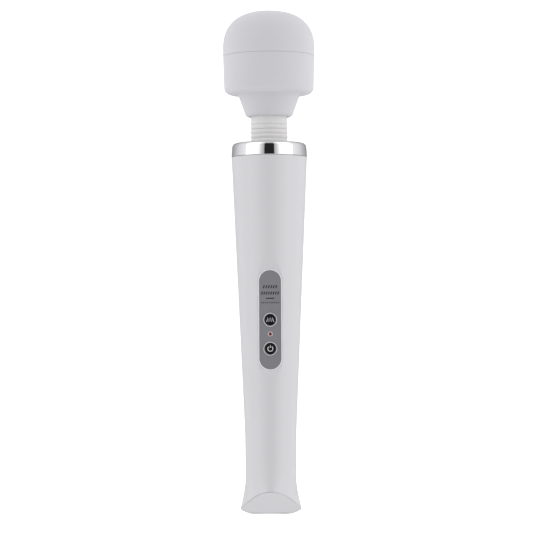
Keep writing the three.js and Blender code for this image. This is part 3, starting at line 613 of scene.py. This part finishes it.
def arc(radius, height, size, start, stop, steps=8):
    """Outline points round a corner, from one angle to another about its centre."""
    turns = [math.radians(start + (stop - start) * i / steps) for i in range(steps + 1)]
    return [(radius + size * math.cos(turn), height + size * math.sin(turn)) for turn in turns]


def soft_edge(radius, height, size, way):
    """Outline points where a wall meets a seam: it draws in over a short run, way being 1 up or -1 down."""
    steps = 6
    return [(radius - SEAM_DEPTH * (i / steps) ** 2.5, height - way * size * (1 - i / steps))
            for i in range(steps + 1)]


def dome(radius, rise, foot, steps):
    """Outline points down a dome, from its top on the axis to its foot."""
    power = 2 / DOME_POWER
    angles = [math.pi / 2 * (1 - i / steps) for i in range(1, steps + 1)]
    side = [(radius * math.cos(a) ** power, foot + rise * math.sin(a) ** power) for a in angles]
    return [(0.0, foot + rise), *side]


def carve(obj, *cutters):
    """Cuts solids out of obj and clears them away."""
    for cutter in cutters:
        modifier = obj.modifiers.new("cut", "BOOLEAN")
        modifier.object = cutter
        modifier.solver = "EXACT"
        apply(obj, modifier)
        bpy.data.objects.remove(cutter)
    return obj


def stadium(radius, length, bottom, top, steps=24):
    """A stadium-shaped block along Y, the whole length long: a flat ring of points, filled and extruded."""
    bpy.ops.object.select_all(action="DESELECT")
    bpy.ops.mesh.primitive_circle_add(vertices=4 * steps, radius=radius, fill_type="NGON")
    obj = bpy.context.object
    straight = length / 2 - radius
    for vertex in obj.data.vertices:
        vertex.co.y += math.copysign(straight, vertex.co.y + MM * 1e-4)
        vertex.co.z = bottom
    bpy.ops.object.mode_set(mode="EDIT")
    bpy.ops.mesh.select_all(action="SELECT")
    bpy.ops.mesh.extrude_region_move(TRANSFORM_OT_translate={"value": (0, 0, top - bottom)})
    bpy.ops.object.mode_set(mode="OBJECT")
    face_out(obj)
    return obj


def round_edges(obj, width, segments=3, angle=50):
    modifier = obj.modifiers.new("edges", "BEVEL")
    modifier.width = width
    modifier.segments = segments
    modifier.limit_method = "ANGLE"
    modifier.angle_limit = math.radians(angle)
    apply(obj, modifier)
    face_out(obj, 35)
    return obj


def printed(strokes, width):
    """Flat printed strokes: each is a list of (x, y) points on the land, drawn with round ends."""
    curve = bpy.data.curves.new("print", "CURVE")
    curve.dimensions = "3D"
    curve.bevel_depth = width / 2
    curve.bevel_resolution = 1
    curve.use_fill_caps = True
    for stroke in strokes:
        spline = curve.splines.new("POLY")
        spline.points.add(len(stroke) - 1)
        for point, (x, y) in zip(spline.points, stroke):
            point.co = (x, y, 0, 1)
    obj = bpy.data.objects.new("print", curve)
    bpy.context.scene.collection.objects.link(obj)
    pick_only(obj)
    bpy.ops.object.convert(target="MESH")
    obj = bpy.context.object
    for vertex in obj.data.vertices:
        vertex.co.z *= PRINT_HEIGHT / width
    face_out(obj)
    return obj


def finished(obj, name, body, finish, *nodes, place=WAND):
    """The piece in its place, riding its body, with its finish, standing for its CAD nodes."""
    settle(obj, name, place)
    obj.data.materials.clear()
    obj.data.materials.append(FINISHES[finish])
    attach(obj, body)
    dress(finish, nodes)
    return obj


def dress(finish, nodes):
    slots = {material["slot"] for material in record["materials"]}
    finish if finish in slots else "panel_grey"
    if nodes:
        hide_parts(*nodes)


# ---- The handle ----


def shell_half(first, last, columns=120, rows=290):
    """A strip of the handle's outside between two angles, rolled up from a grid and given its wall."""
    bpy.ops.object.select_all(action="DESELECT")
    bpy.ops.mesh.primitive_grid_add(x_subdivisions=columns, y_subdivisions=rows, size=2)
    obj = bpy.context.object
    feet = {}
    for vertex in obj.data.vertices:
        angle = first + (last - first) * (vertex.co.x + 1) / 2
        key = round(vertex.co.x, 5)
        if key not in feet:
            feet[key] = slanted_height(angle, TAIL_PLATE + TAIL_SEAM)
        share = (vertex.co.y + 1) / 2
        low = feet[key]
        vertex.co = surface_point(angle, low + share * (HANDLE_TOP - low))
    face_away(obj)
    wall = obj.modifiers.new("wall", "SOLIDIFY")
    wall.thickness = SHELL_WALL
    wall.offset = -1
    wall.use_even_offset = False
    apply(obj, wall)
    pick_only(obj)
    bpy.ops.object.shade_smooth_by_angle(angle=math.radians(40))
    return obj


def face_away(obj):
    """Turns an open skin's faces away from the wand's axis."""
    middle = obj.data.polygons[len(obj.data.polygons) // 2]
    if Vector((middle.center.x, middle.center.y, 0)).dot(middle.normal) <= 0:
        pick_only(obj)
        bpy.ops.object.mode_set(mode="EDIT")
        bpy.ops.mesh.select_all(action="SELECT")
        bpy.ops.mesh.flip_normals()
        bpy.ops.object.mode_set(mode="OBJECT")


def across_back(obj, height):
    """Turns a solid that stands on Z to point out of the handle's back at a height."""
    turn = Matrix.Rotation(-math.pi / 2, 4, "X") @ Matrix.Rotation(math.pi / 2, 4, "Z")
    obj.data.transform(Matrix.Translation((0, 0, height)) @ turn)
    return obj


def centre_height(node):
    return sum(ends(node)) / 2


def make_shells():
    quarter = math.pi / 2 - SEAM_ANGLE
    front = shell_half(-quarter, quarter)
    pocket_radius = LAND_HALF_WIDTH + HAIRLINE
    pocket_length = PANEL_LENGTH + 2 * (pocket_radius - PANEL_RADIUS)
    pocket = stadium(pocket_radius, pocket_length, -CUT_DEPTH, CUT_DEPTH)
    pocket.data.transform(LAND)
    carve(front, pocket)
    finished(front, "front_shell_skin", "handle", "gloss_shell", "front_shell")

    back = shell_half(math.pi - quarter, math.pi + quarter)
    wells = []
    for plug in ("screw_plug_1", "screw_plug_2"):
        well = turned([(0, 0), (WELL_RADIUS, 0), (WELL_RADIUS, BACK_CUT), (0, BACK_CUT)], 48)
        wells.append(across_back(well, centre_height(plug)))
    opening = stadium(CONTACT_FRAME[0] + HAIRLINE, CONTACT_FRAME[1] + 2 * HAIRLINE, 0, BACK_CUT)
    across_back(opening, centre_height("charge_contact_1"))
    carve(back, *wells, opening)
    finished(back, "back_shell_skin", "handle", "gloss_shell", "back_shell")


def make_tail():
    """A slanted plate with the tail's own outline and a rounded edge."""
    bpy.ops.object.select_all(action="DESELECT")
    bpy.ops.mesh.primitive_circle_add(vertices=200, radius=1, fill_type="NGON")
    obj = bpy.context.object
    angles = [math.atan2(vertex.co.x, -vertex.co.y) for vertex in obj.data.vertices]
    for vertex, angle in zip(obj.data.vertices, angles):
        vertex.co = surface_point(angle, slanted_height(angle))
    bpy.ops.object.mode_set(mode="EDIT")
    bpy.ops.mesh.select_all(action="SELECT")
    bpy.ops.mesh.extrude_region_move(TRANSFORM_OT_translate={"value": (0, 0, TAIL_PLATE)})
    bpy.ops.object.mode_set(mode="OBJECT")
    upper = [vertex for vertex in obj.data.vertices if vertex.select]
    for vertex in upper:
        angle = math.atan2(vertex.co.x, -vertex.co.y)
        vertex.co = surface_point(angle, slanted_height(angle, TAIL_PLATE))
    face_out(obj)
    round_edges(obj, TAIL_EDGE, 4, 50)
    finished(obj, "tail_plate", "handle", "gloss_shell", "tail_cap")


def make_ring():
    """The plated ring: a drawn-in shoulder, a gently domed top and its inner collar and spigot."""
    shoulder = arc(RING_TOP_RADIUS - RING_CORNER, RING_SHOULDER - RING_CORNER, RING_CORNER, 3, 86, 14)
    passage = NECK_RADIUS + NECK_PLAY
    spigot = handle_radius(RING_BOTTOM) - SHELL_WALL - SPIGOT_PLAY
    web_low, web_high = RING_WEB
    chamfer = 0.3 * MM
    outline = [(passage + chamfer, RING_TOP), (passage, RING_TOP - chamfer), (passage, web_low),
               (RING_POCKET, web_low), (RING_POCKET, web_high), (spigot - RING_WALL, web_high),
               (spigot - RING_WALL, SPIGOT_BOTTOM), (spigot, SPIGOT_BOTTOM), (spigot, RING_BOTTOM + HAIRLINE),
               (RING_RADIUS - 0.25 * MM, RING_BOTTOM + HAIRLINE), (RING_RADIUS, RING_BOTTOM + chamfer),
               (RING_RADIUS - 0.1 * MM, RING_BOTTOM + 3 * MM), *shoulder]
    ring = turned(outline, 160, 30)
    finished(ring, "plated_ring", "handle", "bright_ring", "chrome_ring")


# ---- The neck ----


def rib_radius(height):
    """Rounded ribs with a groove at the middle of the neck, and a plain collar at each end."""
    if not RIBS_LOW < height < RIBS_HIGH:
        return NECK_RADIUS - RIB_DEPTH / 3
    phase = math.pi * (height - neck_height) / RIB_PITCH
    return NECK_RADIUS - RIB_DEPTH * (1 - abs(math.sin(phase)) ** 0.6)


def make_neck():
    """The neck in two halves that meet in its middle groove."""
    ring_top = WAND @ Vector((0, 0, RING_TOP - MM))
    skirt_low = WAND @ Vector((0, 0, SKIRT_BOTTOM + MM))
    neck_foot, neck_end = ends("neck_bellows")
    halves = (("neck_lower", "handle", "neck_link", neck_foot, neck_height, ring_top, neck),
              ("neck_upper", "neck_link", "head", neck_height, neck_end, neck, skirt_low))
    for name, first, second, bottom, top, start, end in halves:
        steps = round((top - bottom) / (RIB_PITCH / 12))
        heights = [bottom + (top - bottom) * i / steps for i in range(steps + 1)]
        wall = [(rib_radius(height), height) for height in heights]
        if name == "neck_lower":
            clear = [point for point in wall if point[1] > bottom + FLANGE_CLEAR]
            wall = [(FLANGE_RADIUS, bottom), (FLANGE_RADIUS, bottom + FLANGE_THICKNESS), *clear]
        else:
            clear = [point for point in wall if point[1] < top - FLANGE_CLEAR]
            wall = [*clear, (FLANGE_RADIUS, top - FLANGE_THICKNESS), (FLANGE_RADIUS, top)]
        bore_steps = 24
        bore = [(NECK_BORE, top + (bottom - top) * i / bore_steps) for i in range(bore_steps + 1)]
        obj = turned([*wall, *bore], 96, 60)
        settle(obj, name)
        obj.data.materials.append(FINISHES["neck_rubber"])
        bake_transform(obj)
        dress("neck_rubber", ("neck_bellows",))


def make_neck_lead():
    """The motor's twin lead inside the neck, in two lengths as the neck is."""
    lead_foot, lead_end = ends("motor_lead_neck")
    parts = (("neck_lead_lower", "handle", "neck_link", lead_foot, neck_height, RING_TOP, neck_height),
             ("neck_lead_upper", "neck_link", "head", neck_height, lead_end, neck_height, SKIRT_BOTTOM))
    for name, first, second, bottom, top, start, end in parts:
        steps = 16
        side = [(LEAD_RADIUS, bottom + (top - bottom) * i / steps) for i in range(steps + 1)]
        obj = turned([(0, bottom), *side, (0, top)], 16, 60)
        settle(obj, name)
        obj.data.materials.append(FINISHES["dark_rubber"])
        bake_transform(obj)
        dress("dark_rubber", ("motor_lead_neck",))


# ---- The head ----


def make_head():
    foot = HEAD_TOP - DOME_HEIGHT
    inside = HEAD_RADIUS - SILICONE
    bottom = HEAD_SEAM + HAIRLINE
    cap = [*dome(HEAD_RADIUS, DOME_HEIGHT, foot, 44),
           *soft_edge(HEAD_RADIUS, bottom, SEAM_ROUND, -1),
           (inside, bottom), *reversed(dome(inside, DOME_HEIGHT - SILICONE, foot, 16))]
    finished(turned(cap, 160, 50), "silicone_cap", "head", "silicone", "head_cap")

    top = HEAD_RADIUS - SEAM_STEP
    low = top - SLEEVE_DRAFT
    centre = UNDERSIDE + UNDERSIDE_RISE + SLEEVE_CORNER
    passage = NECK_RADIUS + NECK_PLAY
    floor = ends("head_core_cup")[0] - CORE_GAP
    clamp_bottom = ends("neck_clamp_ring")[0] - CORE_GAP
    sleeve = [*reversed(soft_edge(top, HEAD_SEAM, SEAM_ROUND, 1)),
              *arc(low - SLEEVE_CORNER, centre, SLEEVE_CORNER, 0, -86, 16),
              *arc(SKIRT_TOP_RADIUS + VALLEY * 1.5, UNDERSIDE - VALLEY + UNDERSIDE_RISE, VALLEY, 100, 160, 6),
              *arc(SKIRT_LIP_RADIUS - SKIRT_ROUND, SKIRT_BOTTOM + SKIRT_ROUND, SKIRT_ROUND, -15, -90, 9),
              *arc(passage + LIP_FLARE, SKIRT_BOTTOM + LIP_FLARE, LIP_FLARE, -90, -180, 6),
              (passage, clamp_bottom), (CLAMP_POCKET, clamp_bottom), (CLAMP_POCKET, floor),
              (inside - CORE_CORNER, floor), (inside, floor + CORE_CORNER), (inside, HEAD_SEAM)]
    finished(turned(sleeve, 160, 50), "silicone_sleeve", "head", "silicone", "head_sleeve")


# ---- The controls ----

ON_LAND = WAND @ LAND


def make_panel():
    rim_length = PANEL_LENGTH + 2 * RIM_WIDTH
    rim = stadium(LAND_HALF_WIDTH, rim_length, -PANEL_THICKNESS, RIM_PROUD)
    carve(rim, stadium(PANEL_RADIUS + HAIRLINE, PANEL_LENGTH + 2 * HAIRLINE, -CUT_DEPTH, CUT_DEPTH))
    round_edges(rim, 0.16 * MM, 3, 60)
    finished(rim, "panel_rim", "handle", "rim", "panel_bezel", place=ON_LAND)

    panel = stadium(PANEL_RADIUS, PANEL_LENGTH, -PANEL_THICKNESS, 0)
    for (_, rim_radius), at in ((BUTTON_RING, MODE_AT), (BUTTON_RING, POWER_AT), (LED_RING, LED_AT)):
        radius = rim_radius + HAIRLINE
        hole = turned([(0, -CUT_DEPTH), (radius, -CUT_DEPTH), (radius, CUT_DEPTH), (0, CUT_DEPTH)], 72)
        hole.data.transform(Matrix.Translation((0, at, 0)))
        carve(panel, hole)
    round_edges(panel, 0.08 * MM, 2, 60)
    finished(panel, "panel_plate", "handle", "panel_grey", "control_panel", place=ON_LAND)


def ring_at(name, radii, at, *nodes):
    """A small round rim with rounded edges, set in the panel."""
    inner, outer = radii
    edge = 0.13 * MM
    top = 0.16 * MM
    outline = [(inner, -PANEL_THICKNESS), (outer, -PANEL_THICKNESS), (outer, top - edge),
               *arc(outer - edge, top - edge, edge, 0, 90, 4),
               *arc(inner + edge, top - edge, edge, 90, 180, 4)]
    finished(turned(outline, 72, 50), name, "handle", "rim", *nodes,
             place=ON_LAND @ Matrix.Translation((0, at, 0)))


def make_button(name, at, body):
    """A black key: a flange under the panel, a straight side, a rounded edge and a shallow dish."""
    edge = 0.45 * MM
    top = BUTTON_PROUD
    flange = 5.2 * MM
    flange_top = -PANEL_THICKNESS - 0.3 * MM
    flange_bottom = flange_top - 0.7 * MM
    outline = [(0, flange_bottom), (flange, flange_bottom), (flange, flange_top),
               (BUTTON_RADIUS, flange_top), (BUTTON_RADIUS, top - edge),
               *arc(BUTTON_RADIUS - edge, top - edge, edge, 15, 90, 6),
               (2.4 * MM, top - 0.05 * MM), (1.2 * MM, top - 0.07 * MM), (0, top - 0.08 * MM)]
    key = turned(outline, 72, 50)
    finished(key, f"{name}_key", body, "key_black", f"{name}_button",
             place=ON_LAND @ Matrix.Translation((0, at, 0)))


def icon(name, strokes, width, at, body):
    place = ON_LAND @ Matrix.Translation((0, at, BUTTON_PROUD - 0.035 * MM))
    finished(printed(strokes, width), name, body, "print_light", place=place)


def make_icons():
    """A pulse line on the mode key and the usual power sign on the other."""
    reach = 2.2 * MM
    tall = 1.3 * MM
    turns = 7
    pulse = [(-reach + 2 * reach * i / (turns - 1), tall * (1 if i % 2 else -1)) for i in range(turns)]
    icon("pulse_icon", [pulse], 0.5 * MM, MODE_AT, "mode_key")
    radius = 1.6 * MM
    half_gap = 34
    ring = [(radius * math.sin(math.radians(turn)), radius * math.cos(math.radians(turn)))
            for turn in range(half_gap, 361 - half_gap, 12)]
    bar = [(0, 0.6 * MM), (0, 2.1 * MM)]
    icon("power_icon", [ring, bar], 0.5 * MM, POWER_AT, "power_key")


def ticks(height, reach, count, tall, lean):
    """A row of slanted strokes across the land."""
    places = [-reach + 2 * reach * i / (count - 1) for i in range(count)]
    return [[(x - lean, height - tall / 2), (x + lean, height + tall / 2)] for x in places]


def make_marks():
    """Plain printed marks in place of wording: two rows of ticks, a bar and a finer row."""
    bold = 0.75 * MM
    tall = 1.9 * MM
    lean = 0.3 * MM
    upper = [*ticks(20.8 * MM, 3.9 * MM, 6, tall, lean), *ticks(16.8 * MM, 5.1 * MM, 8, tall, lean)]
    bar = [[(-2.6 * MM, 13.5 * MM), (2.6 * MM, 13.5 * MM)]]
    lower = ticks(10.8 * MM, 5.2 * MM, 10, 0.8 * MM, 0.2 * MM)
    place = ON_LAND @ Matrix.Translation((0, 0, 0.02 * MM))
    for name, strokes, width in (("marks_upper", upper, bold), ("marks_bar", bar, bold),
                                 ("marks_lower", lower, 0.5 * MM)):
        finished(printed(strokes, width), name, "handle", "print_dark", place=place)


def make_indicator():
    ring_at("indicator_rim", LED_RING, LED_AT, "led_ring")
    depth = 4.5 * MM
    outline = [(0, -depth), (LED_RADIUS, -depth), (LED_RADIUS, 0.02 * MM),
               (LED_RADIUS * 0.86, 0.2 * MM), (LED_RADIUS * 0.5, 0.34 * MM), (0, 0.4 * MM)]
    finished(turned(outline, 40, 60), "indicator_lens", "handle", "led_red", "led_light_pipe",
             place=ON_LAND @ Matrix.Translation((0, LED_AT, 0)))


# ---- The back's fittings ----


def make_plug(i):
    """A round rubber plug, slightly dished, sunk in its well."""
    node = f"screw_plug_{i}"
    height = centre_height(node)
    top = min(handle_radius(height), REST_DEPTH + height * REST_SLOPE) - PLUG_SUNK
    edge = 0.3 * MM
    outline = [(0, top - PLUG_LENGTH), (PLUG_RADIUS, top - PLUG_LENGTH), (PLUG_RADIUS, top - edge),
               *arc(PLUG_RADIUS - edge, top - edge, edge, 0, 90, 4),
               (1.2 * MM, top - 0.08 * MM), (0, top - 0.1 * MM)]
    finished(across_back(turned(outline, 64, 50), height), f"plug_{i}", "handle", "neck_rubber", node)


def make_contacts():
    """The charging contacts: two pins in a stadium-shaped frame that follows the handle's curve."""
    height = centre_height("charge_contact_1")
    surface = handle_radius(height)
    face = stadium(*CONTACT_FRAME, surface - 3 * MM, surface - 0.3 * MM)
    for side in (-1, 1):
        hole = turned([(0, 0), (CONTACT_HOLE, 0), (CONTACT_HOLE, BACK_CUT), (0, BACK_CUT)], 40)
        hole.data.transform(Matrix.Translation((0, side * CONTACT_SPACING, 0)))
        carve(face, hole)
    for vertex in face.data.vertices:
        vertex.co.z -= vertex.co.y ** 2 / (2 * surface)
    round_edges(face, 0.1 * MM, 2, 60)
    finished(across_back(face, height), "contact_frame", "handle", "panel_grey", "charge_port_frame")

    edge = 0.3 * MM
    top = surface - 0.55 * MM
    bottom = top - 4.4 * MM
    outline = [(0, bottom), (CONTACT_RADIUS, bottom), (CONTACT_RADIUS, top - edge),
               *arc(CONTACT_RADIUS - edge, top - edge, edge, 0, 90, 4), (0, top + 0.03 * MM)]
    for i, side in ((1, -1), (2, 1)):
        pin = turned(outline, 40, 50)
        pin.data.transform(Matrix.Translation((0, side * CONTACT_SPACING, 0)))
        finished(across_back(pin, height), f"contact_pin_{i}", "handle", "brass", f"charge_contact_{i}")


def dress_inner_nodes():
    """The pieces inside keep their own solids and get their finishes."""
    slots = {part["node"]: part["material_slot"] for part in record["subparts"]}
    for name, obj in frame["nodes"].items():
        for slot in obj.material_slots:
            slot.link = "OBJECT"
            slot.material = FINISHES[slots[name]]


add_camera()
add_studio()
dress_inner_nodes()
make_shells()
make_tail()
make_ring()
make_neck()
make_neck_lead()
make_head()
make_panel()
ring_at("mode_rim", BUTTON_RING, MODE_AT, "mode_button_ring")
ring_at("power_rim", BUTTON_RING, POWER_AT, "power_button_ring")
make_button("mode", MODE_AT, "mode_key")
make_button("power", POWER_AT, "power_key")
make_icons()
make_marks()
make_indicator()
make_plug(1)
make_plug(2)
make_contacts()
